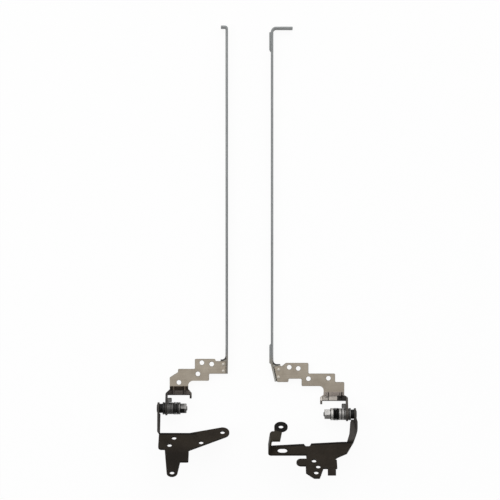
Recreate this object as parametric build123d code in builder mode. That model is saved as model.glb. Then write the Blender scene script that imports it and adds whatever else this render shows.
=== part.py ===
from build123d import *
import os
from math import cos, radians, sin, tan

# A left and a right friction hinge of a laptop, lying as a pair on a table: the lid sides lie flat and the
# base sides stand up from them at the opening angle. +X is to the right along both shafts, +Y runs up the
# display rails and +Z is up. The origin is at the middle of the pair's box, on the table.
# Places on a hinge are measured from its arm: u runs inwards from the arm's outer face along the shaft,
# y runs up the rail from the shaft's axis, w runs out along the base plate from the axis.

# Sheet stock and general sizes
lid_sheet = 1.2
base_sheet = 1.2
rail_sheet = 1.0
bend_inner = 0.6
corner_radius = 0.7
fit_gap = 0.05
washer_play = 0.02

# How the pair lies
opening_angle = 128.0
arm_span = 118.6
axis_stagger = 3.5
axis_height = 6.5
plate_drop = 8.0
lid_rise = 2.0

# Shaft
journal_diameter = 4.0
flats_width = 3.0
thread_diameter = 3.0
thread_chamfer = 0.4
head_diameter = 5.2
head_height = 0.4
collar_diameter = 5.6
collar_length = 1.9
shaft_tail = 0.5

# Friction stack
shoulder_washer_diameter = 7.4
shoulder_washer_thickness = 1.0
thrust_washer_diameter = 7.0
thrust_washer_thickness = 0.6
tab_washer_diameter = 7.0
tab_washer_thickness = 1.0
tab_reach = 6.2
tab_width = 3.0
tab_overhang = 2.6
tab_clearance = 0.25
key_pin_diameter = 1.2
key_pin_depth = 0.8
key_pin_reach = 5.0
friction_washer_diameter = 7.0
left_friction_thickness = 1.3
right_friction_thickness = 1.75
friction_washer_count = 2
spring_diameter = 7.4
spring_thickness = 0.35
spring_cone = 0.13
spring_count = 6
pressure_washer_diameter = 7.2
left_pressure_thickness = 1.2
right_pressure_thickness = 1.8
nut_flats = 5.5
nut_height = 3.6
nut_chamfer = 0.5

# Lid brackets, both sides
screw_hole_diameter = 2.8
fold_y = 13.0
joggle_run = 2.4
channel_near = 7.4
channel_far = 11.0
ear_radius = 4.2
ear_foot_height = 5.0
toe_height = 4.2
toe_near = 5.6
rib_width = 1.1
rib_reach = 1.5
rib_inset = 2.2

# Left lid bracket
left_channel_width = 15.6
left_channel_corner = 2.2
left_root_start = 7.1
left_root_end = 18.2
left_root_top = 18.2
left_middle_start = 12.1
left_middle_slope_top = 21.4
left_middle_near = 16.2
left_middle_far = 23.3
left_middle_end = 30.7
left_upper_start = 22.2
left_upper_far = 29.3
left_upper_end = 34.5
left_rail_pad_near = 20.4
left_rail_pad_far = 28.0
left_root_sweep = 3.0
left_screw_1 = (26.4, 27.0)
left_screw_2 = (32.3, 26.2)
left_screw_3 = (24.0, 20.3)
left_screw_4 = (12.6, 15.2)

# Right lid bracket
right_channel_width = 16.5
right_channel_corner = 1.2
right_root_start = 6.75
right_root_end = 19.15
right_root_far = 18.9
right_middle_start = 12.25
right_middle_near = 16.5
right_middle_far = 24.0
right_middle_end = 32.35
right_upper_start = 28.25
right_upper_far = 30.4
right_upper_end = 41.75
right_upper_near = 20.9
right_slope_end = 44.15
right_rail_pad_start = 40.25
right_rail_pad_near = 18.9
right_rail_pad_far = 28.5
right_rail_pad_taper = 2.2
right_root_sweep = 2.6
right_screw_1 = (39.75, 27.8)
right_screw_2 = (34.35, 27.1)
right_screw_3 = (28.25, 20.9)
right_screw_4 = (16.25, 21.2)

# Display rails
rail_depth = 4.4
rail_lean = 8.0
rail_gap = 0.25
left_lip = 0.3
rail_bend_inner = 0.2
rail_gusset = 2.1
rivet_diameter = 1.2
rivet_head_diameter = 1.9
rivet_head_height = 0.35
left_foot_length = 3.9
left_foot_near = 20.4
left_foot_far = 28.9
left_rivet_1 = (39.3, 22.1)
left_rivet_2 = (39.3, 26.1)
left_rail_u = 41.5
left_rail_reach = 229.2
left_hook_length = 3.7
left_hook_radius = 1.3
right_rail_u = 50.25
right_rail_reach = 232.0
right_hook_length = 12.5
right_hook_radius = 2.6
right_foot_length = 5.1
right_foot_near = 19.2
right_foot_far = 29.6
right_rivet_1 = (46.2, 21.8)
right_rivet_2 = (46.2, 26.4)
right_hem_thickness = 1.0
right_hem_height = 3.8
right_hem_slope = 0.8
right_hem_root = 12.0
right_hem_top = 12.0

# Base brackets, both sides
arm_radius = 3.6
band_start = (2.35, -2.1)
band_trim = 2.0
band_overlap = 2.8

# Left base bracket
left_band_width = 1.75
left_leaf_end = 11.3
left_plate_edge = 1.1
left_plate_near = 12.7
left_plate_corner = 2.0
left_band_corner = 4.0
left_knee_u = 23.9
left_limb_end_u = 38.9
left_limb_end_w = 12.0
left_limb_end_radius = 4.1
left_heel_u = 19.3
left_heel_w = 26.9
left_step_w = 26.0
left_leg_u = 5.2
left_leg_w = 27.6
left_leg_inner_u = 14.5
left_tab_far = 36.4
left_tip_u = 10.1
left_tip_w = 44.8
left_tip_radius = 3.2
left_tip_hole_w = 45.3
left_base_screw_1 = (10.3, 16.8)
left_base_screw_2 = (7.8, 22.8)
left_base_screw_3 = (26.4, 20.6)

# Right base bracket
right_band_neck_width = 3.0
right_band_neck = 3.1
right_band_start_width = 3.45
right_band_start = 3.7
right_band_middle_width = 4.2
right_band_end_width = 5.75
right_leaf_end = 10.6
right_plate_edge = 1.85
right_plate_near = 15.2
right_band_corner = 8.0
right_end_u = 6.15
right_end_w = 24.4
right_end_slope = 0.55
right_bow = 0.8
right_bow_near = 5.6
right_bow_far = 8.0
right_strip_end_near = 18.4
right_strip_far = 25.7
right_notch_u = 29.25
right_notch_width = 4.4
right_notch_floor = 2.2
right_notch_depth = 2.0
right_slot_u = 44.15
right_slot_w = 22.2
right_slot_length = 5.8
right_slot_width = 4.0
right_pad_start = 12.35
right_pad_end = 30.2
right_pad_far = 36.8
right_pad_notch_w = 29.3
right_pad_notch_radius = 0.9
right_tongue_u = 33.35
right_tongue_w = 31.9
right_tongue_radius = 2.8
right_leg_start = 20.45
right_leg_end = 30.75
right_leg_shoulder = 40.4
right_leg_far = 44.6
right_leg_toe_start = 22.75
right_leg_toe_end = 26.15
right_lug_start = 13.15
right_lug_end = 17.95
right_lug_length = 4.4
right_lug_bend = 35.0
right_base_screw_1 = (25.75, 30.8)
right_base_screw_2 = (23.45, 35.6)
right_base_screw_3 = (24.75, 40.4)
right_wall_u = 52.95
right_hook_height = 8.0
right_hook_shift = 4.0
right_hook_leaf = 8.6
right_hook_slant = 1.9
right_hook_lean = 1.5
right_eyelet_u = 44.95
right_eyelet_w = 10.4
right_eyelet_radius = 4.0
right_eyelet_hole = 3.0

# Directions of the base plates and stations along the stack, worked out
tilt = radians(180 - opening_angle)
base_out = Vector(0, -cos(tilt), sin(tilt))
base_up = Vector(0, sin(tilt), cos(tilt))
lean = radians(rail_lean)
lid_to_rail = rail_sheet / cos(lean) - lid_rise * tan(lean) + rail_gap
lid_bend = bend_inner + lid_sheet
base_bend = bend_inner + base_sheet
journal_bore = journal_diameter / 2 + fit_gap
spring_pitch = spring_thickness + spring_cone + washer_play
collar_end = base_sheet + collar_length
shoulder_end = collar_end + shoulder_washer_thickness
ear_outer = shoulder_end + thrust_washer_thickness
ear_inner = ear_outer + lid_sheet
tab_washer_end = ear_inner + tab_washer_thickness
plate_top = -plate_drop
plate_bottom = plate_top - base_sheet

# Place of the two shafts, so that the origin is in the middle of the pair
plate_lift = (plate_drop + base_sheet) * sin(tilt)
left_base_reach = (left_tip_w + left_tip_radius) * cos(tilt) + plate_lift
right_base_reach = right_leg_far * cos(tilt) + plate_lift
pair_top = max(left_rail_reach, right_rail_reach - axis_stagger)
pair_bottom = -max(left_base_reach, right_base_reach + axis_stagger)
left_axis_y = -(pair_top + pair_bottom) / 2


class Hinge:
    """Working planes of one hinge. hand is 1 where u runs along +X and -1 where it runs along -X."""

    def __init__(self, name, hand, axis_y, friction_thickness, pressure_thickness):
        self.name = name
        self.hand = hand
        self.arm_x = -hand * arm_span / 2
        self.axis_y = axis_y
        self.axis = Vector(self.arm_x, axis_y, axis_height)
        self.friction_thickness = friction_thickness
        self.pressure_thickness = pressure_thickness
        self.friction_end = tab_washer_end + friction_washer_count * (friction_thickness + washer_play)
        self.spring_end = self.friction_end + spring_count * spring_pitch
        self.pressure_end = self.spring_end + pressure_thickness
        self.shaft_end = self.pressure_end + nut_height + shaft_tail

    def plan(self, z):
        """Level plane with local u and y. An extrusion of hand times h goes up by h."""
        return Plane((self.arm_x, self.axis_y, z), x_dir=(self.hand, 0, 0), z_dir=(0, 0, self.hand))

    def cross(self, y):
        """Upright plane across the rail with local u and z. Minus hand times h goes up the rail."""
        origin = (self.arm_x, self.axis_y + y, 0)
        return Plane(origin, x_dir=(self.hand, 0, 0), z_dir=(0, -self.hand, 0))

    def flank(self, u):
        """Upright plane square to the shaft with local y and z. Hand times h goes inwards."""
        return Plane((self.arm_x + self.hand * u, self.axis_y, 0), x_dir=(0, 1, 0), z_dir=(1, 0, 0))

    def stack(self, u):
        """Plane square to the shaft and centred on it. An extrusion goes inwards."""
        return Plane(self.axis + Vector(self.hand * u, 0, 0), x_dir=(0, 1, 0), z_dir=(self.hand, 0, 0))

    def base_flat(self, n):
        """Plane along the base plate with local u and minus w, at height n over the axis."""
        return Plane(self.axis + base_up * n, x_dir=(self.hand, 0, 0), z_dir=base_up * self.hand)

    def base_cross(self, w):
        """Plane across the base plate with local u and n. Hand times h goes out along the plate."""
        return Plane(self.axis + base_out * w, x_dir=(self.hand, 0, 0), z_dir=base_out * self.hand)

    def base_flank(self, u):
        """Plane square to the shaft with local w and n. Minus hand times h goes inwards."""
        return Plane(self.axis + Vector(self.hand * u, 0, 0), x_dir=base_out, z_dir=(-1, 0, 0))

    def leaf(self, u):
        """Plane of the leaning rail's outer face with local y and height. Minus hand times h goes inwards."""
        origin = (self.arm_x + self.hand * u, self.axis_y, 0)
        return Plane(origin, x_dir=(0, 1, 0), z_dir=(cos(lean), 0, -self.hand * sin(lean)))


left = Hinge("left", 1, left_axis_y, left_friction_thickness, left_pressure_thickness)
right = Hinge("right", -1, left_axis_y - axis_stagger, right_friction_thickness, right_pressure_thickness)

os.makedirs("parts", exist_ok=True)


def keep(hinge, builder, name):
    """Label a finished piece and write it to its own file."""
    builder.part.label = f"{hinge.name}_{name}"
    export_step(builder.part, f"parts/{hinge.name}_{name}.step")


def blank(plane, points, radii=None):
    """Flat outline of a sheet, with a radius for each corner or none."""
    with BuildSketch(plane) as outline:
        with BuildLine():
            if radii:
                FilletPolyline(*points, radius=radii, close=True)
            else:
                Polyline(*points, close=True)
        make_face()
    return outline.sketch


def bent_strip(plane, points, thickness, inner=bend_inner):
    """Cross-section of a folded sheet: the line along one face, thickened to its left, with round bends."""
    line = [Vector(*point) for point in points]
    lefts = [(end - start).normalized().rotate(Axis.Z, 90) for start, end in zip(line, line[1:])]
    face_radii, back, back_radii = [0], [line[0] + lefts[0] * thickness], [0]
    for corner, before, after in zip(line[1:-1], lefts, lefts[1:]):
        back.append(corner + (before + after) * (thickness / (1 + before.dot(after))))
        wide, tight = inner + thickness, inner
        turns_left = before.cross(after).Z > 0
        face_radii.append(wide if turns_left else tight)
        back_radii.append(tight if turns_left else wide)
    back.append(line[-1] + lefts[-1] * thickness)
    return blank(plane, line + back[::-1], face_radii + [0, 0] + back_radii[::-1])


def rounded_limb(plane, centre, radius, root):
    """Limb with a round end: the hull of a disc and the corners of its root."""
    with BuildSketch(plane) as limb:
        with BuildLine():
            Polyline(*root, close=True)
        make_face()
        with Locations(centre):
            Circle(radius)
        make_hull()
    return limb.sketch


def discs(plane, places, diameter):
    """Equal discs, for drilling holes."""
    with BuildSketch(plane) as holes:
        with Locations(*places):
            Circle(diameter / 2)
    return holes.sketch


def on_plate(*places):
    """Places on a base plate, given as u and w, in the local axes of base_flat."""
    return [(u, -w) for u, w in places]


def lid_bracket(hinge, outline, radii, root, channel, screws, rivets, lip):
    """Folded lid bracket: stepped plate, joggle with two ribs, channel, ear and toe in one sheet. The lip
    slants the plate's end by so much towards the leaning rail."""
    hand = hinge.hand
    root_start, root_end = root
    channel_width, channel_corner = channel
    channel_end = ear_outer + channel_width
    lid_top = lid_rise + lid_sheet
    joggle = [(channel_near, 0), (fold_y - joggle_run, 0), (fold_y, lid_rise), (fold_y + lid_bend, lid_rise)]
    trough = [(ear_outer, ear_foot_height), (ear_outer, 0), (channel_end, 0), (channel_end, toe_height)]
    rib = [
        (fold_y, lid_top),
        (fold_y - joggle_run - rib_reach, lid_sheet),
        (fold_y - joggle_run, lid_sheet / 2),
        (fold_y, lid_rise + lid_sheet / 2),
    ]
    ear_root = [
        (channel_near, lid_bend),
        (channel_far, lid_bend),
        (channel_far, ear_foot_height),
        (channel_near, ear_foot_height),
    ]
    toe = [
        (toe_near, lid_bend),
        (channel_far, lid_bend),
        (channel_far, toe_height),
        (toe_near, toe_height),
    ]
    with BuildPart() as bracket:
        extrude(blank(hinge.plan(lid_rise), outline, radii), amount=hand * lid_sheet)
        step = bent_strip(hinge.flank(root_start), joggle, lid_sheet)
        extrude(step, amount=hand * (root_end - root_start))
        section = bent_strip(hinge.cross(channel_near), trough, lid_sheet)
        extrude(section, amount=-hand * (channel_far - channel_near))
        ear = rounded_limb(hinge.flank(ear_outer), (0, axis_height), ear_radius, ear_root)
        extrude(ear, amount=hand * lid_sheet)
        toe_radii = [0, 0, corner_radius, corner_radius]
        extrude(blank(hinge.flank(channel_end - lid_sheet), toe, toe_radii), amount=hand * lid_sheet)
        for side_u, root_u in ((ear_outer, root_start), (channel_end, root_end)):
            corner = [(side_u, channel_far), (root_u, channel_far), (side_u, channel_far - channel_corner)]
            extrude(blank(hinge.plan(0), corner), amount=hand * 2 * axis_height, mode=Mode.SUBTRACT)
        for rib_u in (root_start + rib_inset, root_end - rib_inset):
            extrude(blank(hinge.flank(rib_u - rib_width / 2), rib), amount=hand * rib_width)
        if lip:
            lip_u, lip_near, lip_far = lip
            wedge = [
                (lip_u - lid_sheet, lid_rise),
                (lip_u, lid_rise),
                (lip_u + left_lip, lid_top),
                (lip_u - lid_sheet, lid_top),
            ]
            extrude(blank(hinge.cross(lip_near), wedge), amount=-hand * (lip_far - lip_near))
        drill = discs(hinge.plan(lid_rise), screws, screw_hole_diameter)
        extrude(drill, amount=hand * lid_sheet, mode=Mode.SUBTRACT)
        rivet_drill = discs(hinge.plan(lid_rise), rivets, rivet_diameter + 2 * fit_gap)
        extrude(rivet_drill, amount=hand * lid_sheet, mode=Mode.SUBTRACT)
        shaft_drill = discs(hinge.stack(ear_outer), [(0, 0)], 2 * journal_bore)
        extrude(shaft_drill, amount=lid_sheet, mode=Mode.SUBTRACT)
        pin_drill = discs(hinge.stack(ear_outer), [(key_pin_reach, 0)], key_pin_diameter + 2 * fit_gap)
        extrude(pin_drill, amount=lid_sheet, mode=Mode.SUBTRACT)
    keep(hinge, bracket, "lid_bracket")


def display_rail(hinge, rail_u, reach, hook, foot, taper, rivets, hems):
    """Strip on edge with a hook at the far end and a foot folded under the lid bracket."""
    hand = hinge.hand
    hook_length, hook_radius = hook
    foot_length, foot_near, foot_far = foot
    depth = rail_depth / cos(lean)
    top = reach - rail_depth * tan(lean)
    hook_start = top - 2 * hook_radius
    foot_z = lid_rise - rail_sheet

    def foot_section(y, shift, height):
        line = [
            (rail_u - shift - foot_length, foot_z),
            (rail_u - shift + foot_z * tan(lean), foot_z),
            (rail_u - shift + height * tan(lean), height),
        ]
        return bent_strip(hinge.cross(y), line, rail_sheet, rail_bend_inner)

    with BuildPart() as rail:
        strip = [(foot_far, 0), (hook_start, 0), (hook_start, depth), (foot_far, depth)]
        extrude(blank(hinge.leaf(rail_u), strip), amount=-hand * rail_sheet)
        with BuildLine(hinge.plan(0)) as hook_path:
            FilletPolyline(
                (rail_u, hook_start), (rail_u, top), (rail_u - hook_length, top), radius=hook_radius
            )
        with BuildSketch(hinge.cross(hook_start)) as hook_section:
            with Locations(Location((rail_u, 0, 0), (0, 0, -rail_lean))):
                Rectangle(rail_sheet, depth, align=(Align.MAX, Align.MIN))
        sweep(hook_section.sketch, path=hook_path.line)
        root_end = foot_section(foot_near, taper, lid_rise + lid_sheet)
        loft([foot_section(foot_far, 0, rail_depth), root_end], ruled=True)
        rail_inner = rail_u - rail_sheet
        with BuildSketch(hinge.plan(foot_z)) as gusset:
            with BuildLine():
                Polyline(
                    (rail_inner - rail_gusset, foot_far - rail_sheet),
                    (rail_inner + rail_sheet / 2, foot_far - rail_sheet),
                    (rail_inner + rail_sheet / 2, foot_far + rail_gusset),
                    (rail_inner - rail_gusset, foot_far + rail_gusset),
                    close=True,
                )
            make_face()
            with Locations((rail_inner - rail_gusset, foot_far + rail_gusset)):
                Circle(rail_gusset, mode=Mode.SUBTRACT)
        extrude(gusset.sketch, amount=hand * rail_sheet)
        for hem_near, hem_far in hems:
            hem = [
                (hem_near, 0),
                (hem_far, 0),
                (hem_far - right_hem_slope, right_hem_height),
                (hem_near + right_hem_slope, right_hem_height),
            ]
            extrude(blank(hinge.leaf(rail_u), hem), amount=hand * right_hem_thickness)
        rivet_drill = discs(hinge.plan(foot_z), rivets, rivet_diameter + 2 * fit_gap)
        extrude(rivet_drill, amount=hand * rail_sheet, mode=Mode.SUBTRACT)
    keep(hinge, rail, "display_rail")


def rail_rivets(hinge, places):
    """Two rivets through lid bracket and rail foot, with a flat head on both ends."""
    hand = hinge.hand
    foot_z = lid_rise - rail_sheet
    grip = lid_sheet + rail_sheet
    with BuildPart() as rivets:
        extrude(discs(hinge.plan(foot_z), places, rivet_diameter), amount=hand * grip)
        extrude(discs(hinge.plan(foot_z), places, rivet_head_diameter), amount=-hand * rivet_head_height)
        upper_heads = discs(hinge.plan(foot_z + grip), places, rivet_head_diameter)
        extrude(upper_heads, amount=hand * rivet_head_height)
        crown = rivets.faces().sort_by(Axis.Z)[-len(places):]
        fillet(crown.edges(), rivet_head_height * 0.8)
    keep(hinge, rivets, "rail_rivets")


def washer(hinge, name, start, thickness, diameter, keyed, count=1):
    """Flat washers on the shaft. A keyed one has two flats in its hole."""
    with BuildPart() as flat_washer:
        for turn in range(count):
            with BuildSketch(hinge.stack(start + turn * (thickness + washer_play))):
                Circle(diameter / 2)
                Circle(journal_bore, mode=Mode.SUBTRACT)
                if keyed:
                    for edge in (-1, 1):
                        with Locations((0, edge * (flats_width / 2 + fit_gap))):
                            side = (Align.CENTER, Align.MIN if edge > 0 else Align.MAX)
                            Rectangle(2 * journal_bore, journal_diameter - flats_width, align=side)
            extrude(amount=thickness)
    keep(hinge, flat_washer, name)


def tab_washer(hinge):
    """Washer with a lug that stands over the friction washers and a key pin that goes into the ear."""
    lug_foot = friction_washer_diameter / 2 + tab_clearance
    with BuildPart() as washer_with_tab:
        with BuildSketch(hinge.stack(ear_inner)):
            Circle(tab_washer_diameter / 2)
            Rectangle(tab_reach, tab_width, align=(Align.MIN, Align.CENTER))
            Circle(journal_bore, mode=Mode.SUBTRACT)
        extrude(amount=tab_washer_thickness)
        with BuildSketch(hinge.stack(ear_inner)):
            with Locations((tab_reach, 0)):
                Rectangle(tab_reach - lug_foot, tab_width, align=(Align.MAX, Align.CENTER))
        extrude(amount=tab_overhang)
        with BuildSketch(hinge.stack(ear_inner)):
            with Locations((key_pin_reach, 0)):
                Circle(key_pin_diameter / 2)
        extrude(amount=-key_pin_depth)
        fold = washer_with_tab.edges().filter_by(Axis.Z).sort_by(Axis.Y)[-2:]
        fillet(fold, tab_washer_thickness / 2)
    keep(hinge, washer_with_tab, "tab_washer")


def spring_washers(hinge):
    """Thin conical washers, stacked rim to rim and bore to bore."""
    with BuildPart() as springs:
        for turn in range(spring_count):
            low = hinge.friction_end + turn * spring_pitch
            inner_rise, outer_rise = (0, spring_cone) if turn % 2 == 0 else (spring_cone, 0)
            with BuildSketch(Plane(hinge.axis, x_dir=(hinge.hand, 0, 0), z_dir=(0, 0, 1))):
                with BuildLine():
                    Polyline(
                        (low + inner_rise, journal_bore),
                        (low + outer_rise, spring_diameter / 2),
                        (low + outer_rise + spring_thickness, spring_diameter / 2),
                        (low + inner_rise + spring_thickness, journal_bore),
                        close=True,
                    )
                make_face()
            revolve(axis=Axis(hinge.axis, (1, 0, 0)))
    keep(hinge, springs, "spring_washers")


def shaft(hinge):
    """Turned shaft: riveted head, collar, round journal, two flats and a threaded end."""
    with BuildPart() as pin:
        with BuildSketch(hinge.stack(0)):
            Circle(head_diameter / 2)
        extrude(amount=-head_height, taper=45)
        with BuildSketch(hinge.stack(0)):
            Circle(journal_diameter / 2)
        extrude(amount=hinge.pressure_end)
        with BuildSketch(hinge.stack(tab_washer_end)):
            for edge in (-1, 1):
                with Locations((0, edge * flats_width / 2)):
                    side = (Align.CENTER, Align.MIN if edge > 0 else Align.MAX)
                    Rectangle(journal_diameter, journal_diameter - flats_width, align=side)
        extrude(amount=hinge.pressure_end - tab_washer_end, mode=Mode.SUBTRACT)
        with BuildSketch(hinge.stack(base_sheet)):
            Circle(collar_diameter / 2)
        extrude(amount=collar_length)
        with BuildSketch(hinge.stack(hinge.pressure_end)):
            Circle(thread_diameter / 2)
        extrude(amount=hinge.shaft_end - hinge.pressure_end)
        tail = pin.faces().sort_by(Axis.X)[-1 if hinge.hand > 0 else 0]
        chamfer(tail.edges(), thread_chamfer)
    keep(hinge, pin, "shaft")


def lock_nut(hinge):
    """Hexagon nut with its corners turned off at both ends."""
    with BuildPart() as nut:
        with BuildSketch(hinge.stack(hinge.pressure_end)):
            Circle(nut_flats / 2 / cos(radians(30)))
        extrude(amount=nut_height)
        chamfer(nut.faces().filter_by(Axis.X).edges(), nut_chamfer)
        with BuildSketch(hinge.stack(hinge.pressure_end)):
            RegularPolygon(nut_flats / 2, 6, major_radius=False, rotation=30)
        extrude(amount=nut_height, mode=Mode.INTERSECT)
        with BuildSketch(hinge.stack(hinge.pressure_end)):
            Circle(thread_diameter / 2 + fit_gap)
        extrude(amount=nut_height, mode=Mode.SUBTRACT)
    keep(hinge, nut, "lock_nut")


def band_arm(hinge, plate_near, leaf_end, outline, bow):
    """Arm of a base bracket: a band bent up from the plate, with a leaf round the shaft at its outer side.
    The leaf's outer face follows the places of bow, given as u and w."""
    hand = hinge.hand
    near, start = Vector(plate_near, plate_top), Vector(*band_start)
    along = (near - start).normalized()
    rise = along.rotate(Axis.Z, 90)
    crease = near - (Vector(0, 1) + rise) * (base_sheet / (1 + rise.Y))
    section = [
        (plate_near + band_overlap, plate_top),
        near,
        start,
        start - rise * base_sheet,
        crease,
        (plate_near + band_overlap, plate_bottom),
    ]
    leaf_top = start + along * ((leaf_end - start.X) / along.X)
    leaf_root = [start - rise * base_sheet, leaf_top - rise * base_sheet, leaf_top]
    bulge = min(u for u, w in outline)
    width = max(u for u, w in outline) - bulge
    with BuildPart() as leaf:
        shape = rounded_limb(hinge.base_flank(bulge), (0, 0), arm_radius, leaf_root)
        extrude(shape, amount=-hand * (base_sheet - bulge))
        faces = bow + [(u + base_sheet, w) for u, w in bow[::-1]]
        bowed = blank(hinge.base_flat(plate_bottom), on_plate(*faces))
        extrude(bowed, amount=hand * 2 * plate_drop, mode=Mode.INTERSECT)
    with BuildPart() as arm:
        extrude(blank(hinge.base_flank(bulge), section), amount=-hand * width)
        trim = blank(hinge.base_flat(plate_bottom), on_plate(*outline))
        extrude(trim, amount=hand * (plate_drop + base_sheet), mode=Mode.INTERSECT)
        add(leaf.part)
        shaft_drill = discs(hinge.stack(0), [(0, 0)], 2 * journal_bore)
        extrude(shaft_drill, amount=base_sheet, mode=Mode.SUBTRACT)
    return arm.part


# Left lid bracket and rail
left_lid_end = left_rail_u - lid_to_rail
left_rivets = [left_rivet_1, left_rivet_2]
left_lid_outline = [
    (left_root_start, fold_y),
    (left_root_start, left_root_top),
    (left_middle_start, left_middle_slope_top),
    (left_middle_start, left_middle_far),
    (left_upper_start, left_middle_far),
    (left_upper_start, left_upper_far),
    (left_upper_end, left_upper_far),
    (left_upper_end, left_rail_pad_far),
    (left_lid_end, left_rail_pad_far),
    (left_lid_end, left_rail_pad_near),
    (left_middle_end, left_rail_pad_near),
    (left_middle_end, left_middle_near),
    (left_root_end, left_middle_near),
    (left_root_end, fold_y),
]
left_lid_radii = [corner_radius] * len(left_lid_outline)
left_lid_radii[0] = 0
left_lid_radii[-2] = left_root_sweep
left_lid_radii[-1] = 0
left_lid_radii[8] = left_lid_radii[9] = 0
lid_bracket(
    left,
    left_lid_outline,
    left_lid_radii,
    (left_root_start, left_root_end),
    (left_channel_width, left_channel_corner),
    [left_screw_1, left_screw_2, left_screw_3, left_screw_4],
    left_rivets,
    (left_lid_end, left_rail_pad_near, left_rail_pad_far),
)


display_rail(
    left,
    left_rail_u,
    left_rail_reach,
    (left_hook_length, left_hook_radius),
    (left_foot_length, left_foot_near, left_foot_far),
    0,
    left_rivets,
    [],
)
rail_rivets(left, left_rivets)

# Right lid bracket and rail
right_lid_end = right_rail_u - lid_to_rail
right_rail_slope = right_rail_pad_taper / (right_foot_far - right_foot_near)
right_pad_far_end = right_lid_end - right_rail_slope * (right_foot_far - right_rail_pad_far)
right_pad_near_end = right_lid_end - right_rail_slope * (right_foot_far - right_rail_pad_near)
right_rivets = [right_rivet_1, right_rivet_2]
right_lid_outline = [
    (right_root_start, fold_y),
    (right_root_start, right_root_far),
    (right_middle_start, right_root_far),
    (right_middle_start, right_middle_far),
    (right_upper_start, right_middle_far),
    (right_upper_start, right_upper_far),
    (right_upper_end, right_upper_far),
    (right_slope_end, right_rail_pad_far),
    (right_pad_far_end, right_rail_pad_far),
    (right_pad_near_end, right_rail_pad_near),
    (right_rail_pad_start, right_rail_pad_near),
    (right_rail_pad_start, right_upper_near),
    (right_middle_end, right_upper_near),
    (right_middle_end, right_middle_near),
    (right_root_end, right_middle_near),
    (right_root_end, fold_y),
]
right_lid_radii = [corner_radius] * len(right_lid_outline)
right_lid_radii[0] = 0
right_lid_radii[-2] = right_root_sweep
right_lid_radii[-1] = 0
lid_bracket(
    right,
    right_lid_outline,
    right_lid_radii,
    (right_root_start, right_root_end),
    (right_channel_width, right_channel_corner),
    [right_screw_1, right_screw_2, right_screw_3, right_screw_4],
    right_rivets,
    None,
)


right_hem_end = right_rail_reach - right_hook_radius
display_rail(
    right,
    right_rail_u,
    right_rail_reach,
    (right_hook_length, right_hook_radius),
    (right_foot_length, right_foot_near, right_foot_far),
    right_rail_pad_taper,
    right_rivets,
    [
        (right_foot_far, right_foot_far + right_hem_root),
        (right_hem_end - right_hem_top, right_hem_end),
    ],
)
rail_rivets(right, right_rivets)

# The friction stack, the same on both hinges
for hinge in (left, right):
    shaft(hinge)
    washer(hinge, "shoulder_washer", collar_end, shoulder_washer_thickness, shoulder_washer_diameter, False)
    washer(hinge, "thrust_washer", shoulder_end, thrust_washer_thickness, thrust_washer_diameter, False)
    tab_washer(hinge)
    washer(
        hinge, "friction_washers", tab_washer_end, hinge.friction_thickness, friction_washer_diameter, True,
        friction_washer_count,
    )
    spring_washers(hinge)
    washer(
        hinge, "pressure_washer", hinge.spring_end, hinge.pressure_thickness, pressure_washer_diameter, True
    )
    lock_nut(hinge)

# Left base bracket: plate, slanting limb and leg in one folded sheet
left_arm_outline = [
    (0, band_trim),
    (left_band_width, band_trim),
    (left_band_width, left_plate_near),
    (left_band_corner, left_plate_near),
    (left_band_corner, left_plate_near + band_overlap),
    (left_plate_edge, left_plate_near + band_overlap),
    (left_plate_edge, left_plate_near),
    (0, left_leaf_end),
]
left_bow = [(0, -2 * arm_radius), (0, left_plate_near)]
left_arm = band_arm(left, left_plate_near, left_leaf_end, left_arm_outline, left_bow)
left_plate = on_plate(
    (left_plate_edge, left_plate_near),
    (left_knee_u, left_plate_near),
    (left_heel_u, left_heel_w),
    (left_heel_u, left_tab_far),
    (left_leg_inner_u, left_tab_far),
    (left_leg_u, left_leg_w),
    (left_leg_u, left_step_w),
    (left_plate_edge, left_step_w),
)
left_limb_root = on_plate(
    (left_knee_u, left_plate_near), (left_heel_u, left_heel_w), (left_heel_u, left_plate_near)
)
left_leg_root = on_plate(
    (left_leg_u, left_leg_w), (left_leg_inner_u, left_leg_w), (left_leg_inner_u, left_tab_far)
)
left_base_screws = on_plate(
    left_base_screw_1,
    left_base_screw_2,
    left_base_screw_3,
    (left_limb_end_u, left_limb_end_w),
    (left_tip_u, left_tip_hole_w),
)
with BuildPart() as left_base_bracket:
    add(left_arm)
    sheet_plane = left.base_flat(plate_bottom)
    left_plate_radii = [0, 0, 0, corner_radius, 0, 0, corner_radius, left_plate_corner]
    extrude(blank(sheet_plane, left_plate, left_plate_radii), amount=left.hand * base_sheet)
    limb_end = on_plate((left_limb_end_u, left_limb_end_w))
    limb = rounded_limb(sheet_plane, limb_end, left_limb_end_radius, left_limb_root)
    extrude(limb, amount=left.hand * base_sheet)
    tip = on_plate((left_tip_u, left_tip_w))
    extrude(rounded_limb(sheet_plane, tip, left_tip_radius, left_leg_root), amount=left.hand * base_sheet)
    drill = discs(sheet_plane, left_base_screws, screw_hole_diameter)
    extrude(drill, amount=left.hand * base_sheet, mode=Mode.SUBTRACT)
keep(left, left_base_bracket, "base_bracket")


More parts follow.
